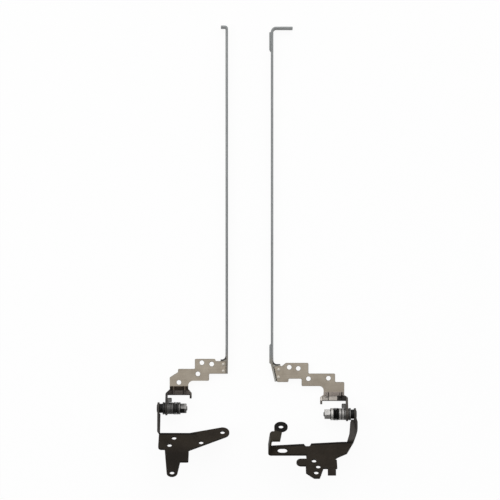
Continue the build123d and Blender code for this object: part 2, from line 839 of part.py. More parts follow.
def eyelet_hook(hinge):
    """End of the right strip: a wall folded up and a leaf folded back over it, slanted towards the eyelet."""
    hand = hinge.hand
    leaf_level = plate_top + right_hook_height
    path = [
        (right_wall_u - 2 * base_bend, plate_bottom),
        (right_wall_u, plate_bottom),
        (right_wall_u - right_hook_lean, leaf_level),
        (right_wall_u - right_hook_leaf, leaf_level),
    ]
    side_view = [
        (right_strip_end_near, plate_bottom),
        (right_strip_far, plate_bottom),
        (right_strip_far, plate_top),
        (right_strip_far - right_hook_shift, leaf_level),
        (right_strip_end_near - right_hook_shift, leaf_level),
        (right_strip_end_near, plate_top),
    ]
    width = right_strip_far - right_strip_end_near + right_hook_shift
    with BuildPart() as hook:
        start = hinge.base_cross(right_strip_end_near - right_hook_shift)
        extrude(bent_strip(start, path, base_sheet), amount=hand * width)
        outline = blank(hinge.base_flank(0), side_view)
        extrude(outline, amount=-hand * (right_wall_u + base_sheet), mode=Mode.INTERSECT)
        eyelet_plane = hinge.base_flat(leaf_level - base_sheet)
        leaf_end = right_wall_u - right_hook_leaf
        slant = on_plate(
            (leaf_end, right_strip_end_near - right_hook_shift),
            (leaf_end, right_strip_far),
            (leaf_end + right_hook_slant, right_strip_far),
        )
        extrude(blank(eyelet_plane, slant), amount=hand * base_sheet, mode=Mode.SUBTRACT)
        eyelet_centre = on_plate((right_eyelet_u, right_eyelet_w))
        extrude(discs(eyelet_plane, eyelet_centre, 2 * right_eyelet_radius), amount=hand * base_sheet)
        neck_end = right_strip_end_near - right_hook_shift + right_eyelet_radius
        neck = on_plate(
            (right_eyelet_u, right_eyelet_w),
            (right_eyelet_u + right_eyelet_radius, right_eyelet_w),
            (right_eyelet_u + right_eyelet_radius, neck_end),
            (right_eyelet_u, neck_end),
        )
        extrude(blank(eyelet_plane, neck), amount=hand * base_sheet)
        eyelet_drill = discs(eyelet_plane, eyelet_centre, right_eyelet_hole)
        extrude(eyelet_drill, amount=hand * base_sheet, mode=Mode.SUBTRACT)
    return hook.part


# Right base bracket: strip, pad with tongue, leg and lug, and the eyelet hook in one folded sheet
right_edge_slope = (right_end_u - right_plate_edge) / (right_end_w - right_plate_near)
right_bow_line = [
    (0, -2 * arm_radius),
    (0, arm_radius),
    (-right_bow, right_bow_near),
    (-right_bow, right_bow_far),
    (0, right_leaf_end),
]
right_arm_outline = [
    (0, band_trim),
    (right_band_neck_width, band_trim),
    (right_band_neck_width, right_band_neck),
    (right_band_start_width, right_band_start),
    (right_band_middle_width, right_leaf_end),
    (right_band_end_width, right_plate_near),
    (right_band_corner, right_plate_near),
    (right_band_corner, right_plate_near + band_overlap),
    (right_plate_edge + right_edge_slope * band_overlap, right_plate_near + band_overlap),
    (right_plate_edge, right_plate_near),
    (0, right_leaf_end),
    (-right_bow, right_bow_far),
    (-right_bow, right_bow_near),
    (0, arm_radius),
]
right_arm = band_arm(right, right_plate_near, right_leaf_end, right_arm_outline, right_bow_line)
right_hook = eyelet_hook(right)
right_pad_inner = right_pad_start + base_bend
right_strip = on_plate(
    (right_plate_edge, right_plate_near),
    (right_band_corner, right_plate_near),
    (right_wall_u - base_bend, right_strip_end_near),
    (right_wall_u - base_bend, right_strip_far),
    (right_pad_inner, right_strip_far),
    (right_pad_inner, right_end_w + right_end_slope * (right_pad_inner - right_end_u)),
    (right_end_u, right_end_w),
)
right_strip_slope = (right_strip_end_near - right_plate_near) / (right_wall_u - base_bend - right_band_corner)
right_notch_edge = right_plate_near + right_strip_slope * (right_notch_u - right_band_corner)
right_notch = on_plate(
    (right_notch_u - right_notch_width / 2, right_plate_near),
    (right_notch_u - right_notch_width / 2, right_notch_edge),
    (right_notch_u - right_notch_floor / 2, right_notch_edge + right_notch_depth),
    (right_notch_u + right_notch_floor / 2, right_notch_edge + right_notch_depth),
    (right_notch_u + right_notch_width / 2, right_notch_edge),
    (right_notch_u + right_notch_width / 2, right_plate_near),
)
right_pad = on_plate(
    (right_pad_start, right_strip_far - base_sheet),
    (right_pad_end, right_strip_far - base_sheet),
    (right_pad_end, right_pad_far),
    (right_pad_start, right_pad_far),
)
right_tongue_root = on_plate(
    (right_pad_end - base_sheet, right_tongue_w - right_tongue_radius),
    (right_pad_end - base_sheet, right_tongue_w + right_tongue_radius),
    (right_pad_end, right_tongue_w + right_tongue_radius),
    (right_pad_end, right_tongue_w - right_tongue_radius),
)
right_leg = on_plate(
    (right_leg_start, right_tongue_w),
    (right_leg_end, right_tongue_w),
    (right_leg_end, right_leg_shoulder),
    (right_leg_toe_end, right_leg_far),
    (right_leg_toe_start, right_leg_far),
    (right_leg_start, right_pad_far),
)
lug_bend = radians(right_lug_bend)
right_lug = [
    (right_pad_far + right_lug_length * cos(lug_bend), plate_top - right_lug_length * sin(lug_bend)),
    (right_pad_far, plate_top),
    (right_pad_far - 2 * base_sheet, plate_top),
]
right_base_screws = on_plate(right_base_screw_1, right_base_screw_2, right_base_screw_3)
with BuildPart() as right_base_bracket:
    add(right_arm)
    add(right_hook)
    sheet_plane = right.base_flat(plate_bottom)
    sheet_up = right.hand * base_sheet
    extrude(blank(sheet_plane, right_strip), amount=sheet_up)
    extrude(blank(sheet_plane, right_notch), amount=sheet_up, mode=Mode.SUBTRACT)
    extrude(blank(sheet_plane, right_pad), amount=sheet_up)
    tongue_end = on_plate((right_tongue_u, right_tongue_w))
    extrude(rounded_limb(sheet_plane, tongue_end, right_tongue_radius, right_tongue_root), amount=sheet_up)
    leg_radii = [0, 0, corner_radius, corner_radius, corner_radius, 0]
    extrude(blank(sheet_plane, right_leg, leg_radii), amount=sheet_up)
    lug_section = bent_strip(right.base_flank(right_lug_start), right_lug, base_sheet)
    extrude(lug_section, amount=-right.hand * (right_lug_end - right_lug_start))
    pad_notch = on_plate((right_pad_start, right_pad_notch_w))
    extrude(
        discs(sheet_plane, pad_notch, 2 * right_pad_notch_radius), amount=sheet_up, mode=Mode.SUBTRACT
    )
    drill = discs(sheet_plane, right_base_screws, screw_hole_diameter)
    extrude(drill, amount=sheet_up, mode=Mode.SUBTRACT)
    with BuildSketch(sheet_plane) as slot:
        with Locations(on_plate((right_slot_u, right_slot_w))):
            SlotOverall(right_slot_length, right_slot_width)
    extrude(slot.sketch, amount=sheet_up, mode=Mode.SUBTRACT)
keep(right, right_base_bracket, "base_bracket")
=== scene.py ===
from math import pi, radians, sin, tan

import bmesh
import bpy
import numpy as np
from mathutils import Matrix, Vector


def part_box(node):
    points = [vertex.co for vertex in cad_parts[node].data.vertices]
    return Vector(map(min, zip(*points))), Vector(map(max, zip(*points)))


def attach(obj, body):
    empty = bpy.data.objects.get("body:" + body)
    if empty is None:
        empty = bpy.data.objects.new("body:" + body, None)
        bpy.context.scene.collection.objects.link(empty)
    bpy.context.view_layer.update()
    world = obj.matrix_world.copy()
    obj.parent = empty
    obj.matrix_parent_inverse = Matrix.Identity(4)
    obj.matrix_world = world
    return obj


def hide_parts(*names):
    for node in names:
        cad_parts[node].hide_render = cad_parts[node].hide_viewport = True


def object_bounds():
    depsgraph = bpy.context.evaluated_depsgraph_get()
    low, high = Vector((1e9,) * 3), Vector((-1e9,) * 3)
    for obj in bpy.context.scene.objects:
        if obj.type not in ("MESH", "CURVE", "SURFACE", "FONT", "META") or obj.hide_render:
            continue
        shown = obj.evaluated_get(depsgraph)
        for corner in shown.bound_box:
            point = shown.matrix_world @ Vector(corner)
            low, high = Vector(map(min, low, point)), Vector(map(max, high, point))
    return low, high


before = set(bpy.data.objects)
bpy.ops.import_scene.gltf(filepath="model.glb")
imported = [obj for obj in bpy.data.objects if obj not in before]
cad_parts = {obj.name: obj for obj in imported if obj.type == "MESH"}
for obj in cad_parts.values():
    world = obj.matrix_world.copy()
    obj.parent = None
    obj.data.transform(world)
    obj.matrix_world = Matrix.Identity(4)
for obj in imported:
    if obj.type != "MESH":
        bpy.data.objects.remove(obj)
cad_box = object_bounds()
sides = ("left", "right")

# Lid brackets: 1.2 mm steel sheet, blanked in steps, dull nickel plated and screwed to the lid's shell.
# Each is pressed down in a joggle with two ribs to a short channel, whose ear carries the shaft.
# The blanked rims are rougher and darker than the faces, partly as painted shade. The channel's tones are
# painted light and shade, with painted shadow in its creases and corner.


class Tone:
    """A socket of a material. Sums, differences and products of tones and numbers add Math nodes."""

    def __init__(self, tree, socket):
        self.tree = tree
        self.socket = socket

    def node(self, kind, settings, sockets, output=0):
        """Output of a new node, whose settings are set first and whose sockets then get values or links."""
        made = self.tree.nodes.new(kind)
        for name, value in settings.items():
            setattr(made, name, value)
        for name, value in sockets.items():
            if isinstance(value, Tone):
                self.tree.links.new(value.socket, made.inputs[name])
            else:
                made.inputs[name].default_value = value
        return Tone(self.tree, made.outputs[output])

    def sum_node(self, operation, first, second):
        return self.node("ShaderNodeMath", {"operation": operation}, {0: first, 1: second})

    def __add__(self, other):
        return self.sum_node("ADD", self, other)

    def __sub__(self, other):
        return self.sum_node("SUBTRACT", self, other)

    def __rsub__(self, other):
        return self.sum_node("SUBTRACT", other, self)

    def __mul__(self, other):
        return self.sum_node("MULTIPLY", self, other)

    __radd__ = __add__
    __rmul__ = __mul__

    def grain(self, scale, detail=3.0, stretch=(1, 1, 1)):
        """Noise over these places, with about scale lumps to a metre along an axis that isn't stretched."""
        laid = self.node("ShaderNodeMapping", {}, {"Vector": self, "Scale": stretch})
        return laid.node("ShaderNodeTexNoise", {}, {"Vector": laid, "Scale": scale, "Detail": detail})

    def along(self, axis):
        """One coordinate of these places."""
        return self.node("ShaderNodeSeparateXYZ", {}, {0: self}, axis)

    def ramp(self, start, end):
        """0 up to start, 1 from end on, and even in between."""
        return self.node("ShaderNodeMapRange", {}, {"Value": self, "From Min": start, "From Max": end})

    def near(self, middle, reach):
        """1 within reach of a middle value, and 0 elsewhere."""
        return self.node("ShaderNodeMath", {"operation": "COMPARE"}, {0: self, 1: middle, 2: reach})

    def blend(self, low, high):
        """Colour that goes from low to high as this tone goes from 0 to 1."""
        return self.node("ShaderNodeMix", {"data_type": "RGBA"}, {0: self, 6: low, 7: high}, 2)

    def lay(self, shader, name):
        """Lead this tone to a socket of the shader."""
        self.tree.links.new(self.socket, shader.inputs[name])


def new_finish(name, metallic, specular=0.5):
    """Material with its shader and the places on the object that its patterns read."""
    finish = bpy.data.materials.new(name)
    finish.use_nodes = True
    shader = finish.node_tree.nodes["Principled BSDF"]
    shader.inputs["Metallic"].default_value = metallic
    shader.inputs["Specular IOR Level"].default_value = specular
    reader = finish.node_tree.nodes.new("ShaderNodeTexCoord")
    return finish, shader, Tone(finish.node_tree, reader.outputs["Object"])


def roughen(places, shader, height, depth, strength=1.0):
    """Raise the surface by a tone: depth is the height in metres of a full step."""
    bump = places.node("ShaderNodeBump", {}, {"Strength": strength, "Distance": depth, "Height": height})
    bump.lay(shader, "Normal")


def rgba(red, green, blue):
    return (red, green, blue, 1.0)


def edges_round(vert):
    """Edges round a corner in order, each with the angle to the next one."""
    loop, ring = vert.link_loops[0], []
    for _ in vert.link_loops:
        ring.append((loop.edge, min(max(loop.calc_angle(), 0.001), pi - 0.001)))
        loop = loop.link_loop_prev.link_loop_radial_next
    return ring


def shares_at(vert, rims, rounding):
    """How much of each edge at a corner is taken by rounds of that width. Two rims at an angle a take
    r / tan(a / 2) of themselves and r / sin(a / 2) of the edges between them. A single rim takes r / sin(a)
    of its neighbours."""
    ring = edges_round(vert)
    places = [place for place, (edge, angle) in enumerate(ring) if edge in rims]
    if len(places) == 1:
        here = places[0]
        return [
            (ring[(here + 1) % len(ring)][0], rounding / sin(ring[here][1])),
            (ring[here - 1][0], rounding / sin(ring[here - 1][1])),
        ]
    shares = []
    for here, there in zip(places, places[1:] + places[:1]):
        span = [ring[(here + step) % len(ring)] for step in range((there - here) % len(ring))]
        half = min(sum(angle for edge, angle in span) / 2, pi / 2)
        shares += [(ring[place][0], rounding / tan(half)) for place in (here, there)]
        shares += [(edge, rounding / sin(half)) for edge, angle in span[1:]]
    return shares


def roomy_rims(sheet, rounding):
    """Edges that turn by more than 35 degrees and leave room for a round of that width. Where the two ends
    of an edge take more than its length, the rims at the end that takes most stay sharp."""
    rims = {edge for edge in sheet.edges if edge.calc_face_angle(0) > radians(35)}
    crowded = True
    while crowded:
        taken = {}
        for vert in {vert for edge in rims for vert in edge.verts}:
            for edge, share in shares_at(vert, rims, rounding):
                taken[edge, vert] = max(share, taken.get((edge, vert), 0))
        crowded = set()
        for (edge, vert), share in taken.items():
            other = taken.get((edge, edge.other_vert(vert)), 0)
            if share + other > 0.95 * edge.calc_length() and share >= other:
                crowded.add(vert)
        rims = {edge for edge in rims if not crowded.intersection(edge.verts)}
    return list(rims)


def eased_sheet(node, rounding, finishes):
    """Copy of a folded sheet's solid: its loose triangles are joined, flat faces made whole, and each rim
    with room for it gets a round of that width, which takes the second finish."""
    sheet = bmesh.new()
    sheet.from_mesh(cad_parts[node].data)
    bmesh.ops.remove_doubles(sheet, verts=sheet.verts, dist=2e-6)
    bmesh.ops.dissolve_limit(sheet, angle_limit=radians(0.6), verts=sheet.verts, edges=sheet.edges)
    bmesh.ops.bevel(
        sheet, geom=roomy_rims(sheet, rounding), offset=rounding, offset_type="OFFSET", segments=2,
        profile=0.5, affect="EDGES", clamp_overlap=False, material=1,
    )
    mesh = bpy.data.meshes.new(f"{node}_sheet")
    sheet.to_mesh(mesh)
    sheet.free()
    mesh.polygons.foreach_set("use_smooth", np.ones(len(mesh.polygons), dtype=bool))
    mesh.set_sharp_from_angle(angle=radians(20))
    for finish in finishes:
        mesh.materials.append(finish)
    piece = bpy.data.objects.new(f"{node}_sheet", mesh)
    bpy.context.scene.collection.objects.link(piece)
    return piece


fold_over_ear = 0.0172
front_over_ear = 0.0116
ramp_run = 0.0024
ear_half = 0.0007
rib_half = 0.00055
# Near-black for the painted shadows in the lid channel.
painted_shadow_black = rgba(0.010, 0.008, 0.007)


def nickel_plate(side, shade, ribs, rub, corner_shadow, ramp, trough, ear):
    """Warm grey plating with brown mottling and rolling lines along the shaft. Below the fold the ramp, the
    trough and the ear each take their own two tones; those of the ramp and the trough differ by side as
    painted light and shade. Painted shadow lies along the ribs, the front edge and in the trough's corner,
    and shade is how strongly painted shade darkens the plate towards the fold. The ribs and the corner
    shadow's span are places along the shaft from the ear's outer face, and rub is how strongly the ribs'
    tops on the ramp are lightened as a painted highlight."""
    finish, shader, places = new_finish(f"{side}_nickel_plate", 0.55, 0.4)
    low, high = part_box(f"{side}_lid_bracket")
    fold, front = low.y + fold_over_ear, low.y + front_over_ear
    outer, inward = (low.x, 1) if side == "left" else (high.x, -1)
    across, upward = places.along(0), places.along(1)
    patches = places.grain(150, 4)
    lines = places.grain(60, 3, (1, 40, 40))
    specks = places.grain(900, 2).ramp(0.66, 0.74) * places.grain(70, 2).ramp(0.45, 0.6)
    plating = (patches * 0.75 + lines * 0.25).ramp(0.3, 0.7)
    below_fold = 1 - upward.ramp(fold - 0.0004, fold + 0.0003)
    in_trough = 1 - upward.ramp(fold - ramp_run - 0.0003, fold - ramp_run + 0.0003)
    front_shadow = 1 - upward.ramp(front + 0.0003, front + 0.0007)
    rib_shadows, rib_highlights = 0, 0
    for rib in ribs:
        rib_highlights = rib_highlights + across.near(outer + inward * rib, rib_half * 0.95)
        rib_shadows = rib_shadows + across.near(outer + inward * (rib - rib_half * 1.2), rib_half * 0.75)
        rib_shadows = rib_shadows + across.near(outer + inward * (rib + rib_half * 1.2), rib_half * 0.25)
    corner_shadow_start, corner_shadow_end, corner_shadow_level = corner_shadow
    corner_shadow_middle = outer + inward * (corner_shadow_start + corner_shadow_end) / 2
    in_corner_shadow = (across + patches * 0.0012).near(corner_shadow_middle + 0.0006, (corner_shadow_end - corner_shadow_start) / 2)
    # Painted shade darkens the plate towards the fold, as strongly as shade sets.
    at_root = 1 - upward.ramp(fold + 0.004, fold + 0.009)
    tint = plating.blend(rgba(0.365, 0.315, 0.250), rgba(0.470, 0.418, 0.343))
    tint = (at_root * shade).blend(tint, rgba(0.20, 0.160, 0.130))
    tint = (specks * 0.5).blend(tint, rgba(0.12, 0.09, 0.065))
    # Painted highlight on the ribs' tops on the ramp, as strong as rub sets.
    tint = below_fold.blend(tint, (rib_highlights * rub).blend(plating.blend(*ramp), rgba(0.30, 0.235, 0.175)))
    tint = in_trough.blend(tint, plating.blend(*trough))
    # Painted shadow in the trough's corner by the ear, beside each rib and along the front edge.
    tint = (in_corner_shadow * in_trough * corner_shadow_level).blend(tint, painted_shadow_black)
    tint = (rib_shadows * below_fold * 0.8).blend(tint, painted_shadow_black)
    tint = (front_shadow * 0.8).blend(tint, painted_shadow_black)
    tint = across.near(outer + inward * ear_half, ear_half).blend(tint, plating.blend(*ear))
    tint.lay(shader, "Base Color")
    (0.40 + plating * 0.16 + below_fold * 0.06).lay(shader, "Roughness")
    roughen(places, shader, lines * 0.5 + places.grain(4200, 2) * 0.5, 1.6e-5, 0.5)
    return finish


def blanked_rim(name, dark, light):
    """Sheared rim of a plated sheet: dark, partly as painted shade along the edges, with a torn grain and
    brighter worn spots.
    """
    finish, shader, places = new_finish(name, 0.6, 0.4)
    torn = places.grain(2600, 4)
    worn = places.grain(420, 3).ramp(0.45, 0.7)
    (worn * 0.7 + torn * 0.3).blend(dark, light).lay(shader, "Base Color")
    (0.62 - worn * 0.25).lay(shader, "Roughness")
    roughen(places, shader, torn, 2.0e-5, 0.5)
    return finish


nickel_rim = blanked_rim("nickel_rim", rgba(0.075, 0.066, 0.055), rgba(0.24, 0.215, 0.185))
# The two sides' channel tones are lit and shaded copies of one plating: painted light and shade.
left_nickel = nickel_plate(
    "left", 0.05, (0.0046, 0.0113), 0.7, (0.0012, 0.0040, 0.5),
    ramp=(rgba(0.034, 0.024, 0.017), rgba(0.072, 0.052, 0.038)),
    trough=(rgba(0.085, 0.070, 0.061), rgba(0.145, 0.124, 0.110)),
    ear=(rgba(0.010, 0.009, 0.009), rgba(0.032, 0.030, 0.029)),
)
right_nickel = nickel_plate(
    "right", 0.25, (0.00425, 0.01225), 0.0, (0.0012, 0.0064, 0.95),
    ramp=(rgba(0.50, 0.43, 0.385), rgba(0.70, 0.62, 0.555)),
    trough=(rgba(0.50, 0.455, 0.41), rgba(0.68, 0.635, 0.58)),
    ear=(rgba(0.024, 0.021, 0.019), rgba(0.085, 0.076, 0.068)),
)
lid_rounding = 0.00016
for side, nickel in (("left", left_nickel), ("right", right_nickel)):
    lid = eased_sheet(f"{side}_lid_bracket", lid_rounding, (nickel, nickel_rim))
    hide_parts(f"{side}_lid_bracket")
    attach(lid, "lid_brackets")

# Display rails: 1 mm strip slit from coil, zinc plated, standing on edge along the screen's side.
# A hook is folded at the far end, and a foot goes under the lid bracket.
# The slit edges are duller than the rolled faces.
rail_rounding = 0.00010
dull_end = (0.080, 0.126)
gusset_radius = 0.0021
gusset_stroke = 0.0008
foot_top = 0.0020
rail_inner = {"left": (0.0405, 0.0289), "right": (0.04925, 0.0296)}
stroke_height = {"left": 0.0095, "right": 0.0030}
head_height = 0.0004
# Near-black for the painted shadow at the gusset and a light zinc for the painted light beside the lid.
gusset_shadow = rgba(0.030, 0.028, 0.026)
painted_light_zinc = rgba(0.47, 0.46, 0.425)


def stations(side, node):
    """Start and end of a node along its shaft, from the arm inwards."""
    low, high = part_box(f"{side}_{node}")
    return (low.x, high.x) if side == "left" else (high.x, low.x)


def shaft_line(side):
    """Height and depth of a hinge's axis: the middle of its shaft's box."""
    low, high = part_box(f"{side}_shaft")
    return (low.y + high.y) / 2, (low.z + high.z) / 2


def zinc_plate(side, name, dark, light, roughness):
    """Cool grey zinc: long streaks up the rail, small crystals and dull patches. It is darker towards the
    hook, and at the foot it has the lid bracket's warmer tone. Painted shadow darkens the round of its gusset
    and the foot of its inner face, and below that the inner face beside the lid is lightened as painted light
    where its gap is in shade."""
    finish, shader, places = new_finish(f"{side}_{name}", 0.6, 0.45)
    lid_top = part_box(f"{side}_lid_bracket")[1].y
    streaks = places.grain(260, 3, (1, 0.06, 1))
    crystals = places.grain(1500, 3)
    dull = places.grain(55, 2)
    upward = places.along(1)
    tint = (streaks * 0.5 + crystals * 0.25 + dull * 0.25).ramp(0.32, 0.68).blend(dark, light)
    tint = (upward.ramp(*dull_end) * 0.15).blend(tint, rgba(0.105, 0.114, 0.110))
    at_foot = 1 - upward.ramp(lid_top - 0.001, lid_top + 0.005)
    tint = at_foot.blend(tint, crystals.blend(rgba(0.24, 0.222, 0.190), rgba(0.36, 0.335, 0.290)))
    head = stations(side, "shaft")[0]
    inward = 1 if side == "left" else -1
    from_arm, from_axis = rail_inner[side]
    corner_x = head + inward * (from_arm + head_height)
    corner_y = shaft_line(side)[0] + from_axis
    centre = (corner_x - inward * gusset_radius, corner_y + gusset_radius, foot_top)
    reach = places.node("ShaderNodeVectorMath", {"operation": "DISTANCE"}, {0: places, 1: centre}, 1)
    gusset_shade = 1 - reach.ramp(gusset_radius + gusset_stroke, gusset_radius + gusset_stroke * 1.4)
    inner_face = 1 - (inward * (places.along(0) - corner_x)).ramp(0.0003, 0.0005)
    rising = upward.ramp(corner_y, corner_y + 0.001) - upward.ramp(
        corner_y + stroke_height[side] * 0.6, corner_y + stroke_height[side])
    # Painted light: the inner face beside the lid is lightened where its gap lies in shade. Painted shadow
    # darkens the inner face above it and the gusset's round.
    lit_beside_lid = inner_face * (1 - upward.ramp(corner_y - 0.001, corner_y))
    tint = lit_beside_lid.blend(tint, painted_light_zinc)
    tint = (inner_face * rising * 0.75).blend(tint, gusset_shadow)
    (gusset_shade * 0.85).blend(tint, gusset_shadow).lay(shader, "Base Color")
    (roughness + dull * 0.18).lay(shader, "Roughness")
    roughen(places, shader, streaks * 0.6 + crystals * 0.4, 1.5e-5, 0.5)
    return finish


for side in sides:
    zinc_face = zinc_plate(side, "zinc_face", rgba(0.20, 0.208, 0.210), rgba(0.29, 0.30, 0.302), 0.40)
    zinc_edge = zinc_plate(side, "zinc_edge", rgba(0.24, 0.248, 0.248), rgba(0.36, 0.37, 0.37), 0.45)
    rail = eased_sheet(f"{side}_display_rail", rail_rounding, (zinc_face, zinc_edge))
    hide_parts(f"{side}_display_rail")
    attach(rail, "lid_brackets")

# Rail rivets: two soft steel rivets on each side, upset cold, so the heads are low domes.
# They hold the rail's foot under the lid bracket.
rivet_head_radius = 0.00095
rivet_shank_radius = 0.0006
rivet_head_height = 0.00035


def skin(name, points, finish, close_rows):
    """Mesh over a grid of points by row and column. Columns close round, and rows too where asked; rows
    that shrink to a point are merged into one, and the faces are turned outwards."""
    rows, columns = points.shape[:2]
    row, column = np.meshgrid(np.arange(rows if close_rows else rows - 1), np.arange(columns), indexing="ij")
    below, beside = (row + 1) % rows, (column + 1) % columns
    here, there = row * columns, below * columns
    corners = [here + column, here + beside, there + beside, there + column]
    faces = np.stack(corners, axis=-1).reshape(-1, 4)
    mesh = bpy.data.meshes.new(name)
    mesh.from_pydata(points.reshape(-1, 3).tolist(), [], faces.tolist())
    shell = bmesh.new()
    shell.from_mesh(mesh)
    bmesh.ops.remove_doubles(shell, verts=shell.verts, dist=1e-8)
    bmesh.ops.recalc_face_normals(shell, faces=shell.faces)
    shell.to_mesh(mesh)
    shell.free()
    mesh.polygons.foreach_set("use_smooth", np.ones(len(mesh.polygons), dtype=bool))
    mesh.set_sharp_from_angle(angle=radians(35))
    mesh.materials.append(finish)
    piece = bpy.data.objects.new(name, mesh)
    bpy.context.scene.collection.objects.link(piece)
    return piece


def join_pieces(pieces):
    """One object from several, under the first one's name."""
    with bpy.context.temp_override(active_object=pieces[0], selected_editable_objects=pieces):
        bpy.ops.object.join()
    return pieces[0]


def rivet_surface(centre, bottom, top):
    """Rivet turned about an upright line: radius by height, a dome r cos t over h sin t at each end and a
    straight shank between the heads. Columns are angles about the line."""
    swell = np.linspace(0, np.pi / 2, 8)
    dome_radius = rivet_head_radius * np.cos(swell)
    dome_height = rivet_head_height * np.sin(swell)
    shank = np.full(2, rivet_shank_radius)
    radius = np.concatenate([dome_radius[::-1], shank, dome_radius])[:, None]
    seats = np.array([bottom + rivet_head_height, top - rivet_head_height])
    height = np.concatenate([seats[0] - dome_height[::-1], seats, seats[1] + dome_height])[:, None]
    angle = np.linspace(0, 2 * np.pi, 32, endpoint=False)[None, :]
    x = centre[0] + radius * np.cos(angle)
    y = centre[1] + radius * np.sin(angle)
    return np.stack([x, y, height + 0 * angle], axis=-1)


rivet_finish, rivet_shader, rivet_places = new_finish("rivet_steel", 0.3)
hammered = rivet_places.grain(2200, 3)
hammered.blend(rgba(0.46, 0.42, 0.365), rgba(0.66, 0.62, 0.555)).lay(rivet_shader, "Base Color")
(0.42 + hammered * 0.2).lay(rivet_shader, "Roughness")
roughen(rivet_places, rivet_shader, hammered, 3.0e-5, 0.5)
for side in sides:
    low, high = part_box(f"{side}_rail_rivets")
    middle = (low.x + high.x) / 2
    rows = (low.y + rivet_head_radius, high.y - rivet_head_radius)
    pair = [
        skin(f"{side}_rivets_{number}", rivet_surface((middle, row), low.z, high.z), rivet_finish, False)
        for number, row in enumerate(rows)
    ]
    rivets = join_pieces(pair)
    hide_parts(f"{side}_rail_rivets")
    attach(rivets, "lid_brackets")

# Base brackets: 1.2 mm steel sheet, blanked, folded up at the arm and dipped in black electro-coat.
# They screw to the lower case, and the shaft's end is riveted into the arm.
# The coat is thin on the rims, where handling has rubbed it grey, and their darker tone is painted shade.
base_rounding = 0.00014
plate_out = (-0.61566, 0.78801)
plate_up = (0.78801, 0.61566)
eyelet_middle = (0.01435, -0.10587, 0.01433)
eyelet_reach = 0.0043
leaf_start = 0.0400
leaf_level = 0.0020
leaf_half = 0.0050
plate_fold = {"left": 0.0127, "right": 0.0152}
fold_slant = {"left": 0.0, "right": 0.0742}
fold_measured_at = 0.008
fold_width = 0.0016
fold_end = {"left": 0.0240, "right": 0.0420}
band_end = 0.0085
leg_shade = {"left": (0.0235, 0.0300, 0.55), "right": (0.0260, 0.0420, 0.15)}


def from_shaft(places, side, direction):
    """Distance from the shaft along a direction, given by its parts up the rails and towards the camera."""
    axis_y, axis_z = shaft_line(side)
    return (places.along(1) - axis_y) * direction[0] + (places.along(2) - axis_z) * direction[1]


def black_coat(side, name, dark, light, rub, band_light):
    """Semi-matt black with an orange-peel skin, cloudy gloss, dust and rubbed spots. Measured out along the
    plate from the shaft come the band of the arm, painted greyer as painted light, a deep black painted
    shadow along the fold, and the leg, darkened as painted shade. The raised leaf of the right hook is
    greyer, and the ring round its eyelet is black."""
    finish, shader, places = new_finish(f"{side}_{name}", 0.0, 0.10)
    inward = 1 if side == "left" else -1
    inwards = (places.along(0) - stations(side, "shaft")[0]) * inward
    out = from_shaft(places, side, plate_out)
    raised = from_shaft(places, side, plate_up)
    beyond_fold = out - inwards * fold_slant[side] - plate_fold[side] + fold_measured_at * fold_slant[side]
    fold_shadow = beyond_fold.ramp(0, fold_width * 0.3) - beyond_fold.ramp(fold_width * 0.7, fold_width * 1.2)
    fold_shadow = fold_shadow * (1 - inwards.ramp(fold_end[side] - 0.001, fold_end[side] + 0.001))
    lit_band = (1 - beyond_fold.ramp(-0.0012, 0.0)) * (1 - inwards.ramp(band_end - 0.001, band_end))
    on_leaf = raised.near(leaf_level, leaf_half) * inwards.ramp(leaf_start, leaf_start + 0.001)
    reach = places.node("ShaderNodeVectorMath", {"operation": "DISTANCE"}, {0: places, 1: eyelet_middle}, 1)
    on_ring = 1 - reach.ramp(eyelet_reach, eyelet_reach + 0.0006)
    leg_start, leg_full, leg_level = leg_shade[side]
    shaded_leg = out.ramp(leg_start, leg_full) * leg_level
    clouds = places.grain(110, 4)
    peel = places.grain(2400, 2)
    dust = places.grain(1300, 3).ramp(0.58, 0.75) * places.grain(160, 2)
    rubbed = places.grain(520, 4).ramp(0.5, 0.68) * rub
    coat = clouds.ramp(0.3, 0.7).blend(dark, light)
    dusty = (dust * 0.3).blend(coat, rgba(0.060, 0.052, 0.045))
    worn = rubbed.blend(dusty, rgba(0.11, 0.10, 0.092))
    # Painted light: the arm's band, which faces the light, is painted greyer.
    worn = (lit_band * band_light).blend(worn, clouds.blend(rgba(0.040, 0.036, 0.033), rgba(0.085, 0.078, 0.073)))
    worn = (on_leaf * 0.8).blend(worn, clouds.blend(rgba(0.022, 0.019, 0.012), rgba(0.042, 0.037, 0.026)))
    worn = (on_ring * 0.9).blend(worn, rgba(0.0020, 0.0018, 0.0015))
    # Painted shade on the leg, and a painted shadow along the fold.
    shaded = shaded_leg.blend(worn, rgba(0.0030, 0.0018, 0.0010))
    (fold_shadow * 0.85).blend(shaded, rgba(0.0015, 0.0012, 0.0010)).lay(shader, "Base Color")
    (0.42 + clouds * 0.18 - rubbed * 0.1).lay(shader, "Roughness")
    (rubbed * 0.8).lay(shader, "Metallic")
    roughen(places, shader, peel * 0.7 + clouds * 0.3, 2.2e-5, 0.5)
    return finish


for side in sides:
    coat_face = black_coat(
        side, "coat_face", rgba(0.0140, 0.0104, 0.0068), rgba(0.0225, 0.0172, 0.0118), 0.03, 0.8)
    coat_rim = black_coat(
        side, "coat_rim", rgba(0.0060, 0.0048, 0.0038), rgba(0.0150, 0.0125, 0.0104), 0.30, 0.0)
    base = eased_sheet(f"{side}_base_bracket", base_rounding, (coat_face, coat_rim))
    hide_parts(f"{side}_base_bracket")
    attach(base, f"{side}_base")

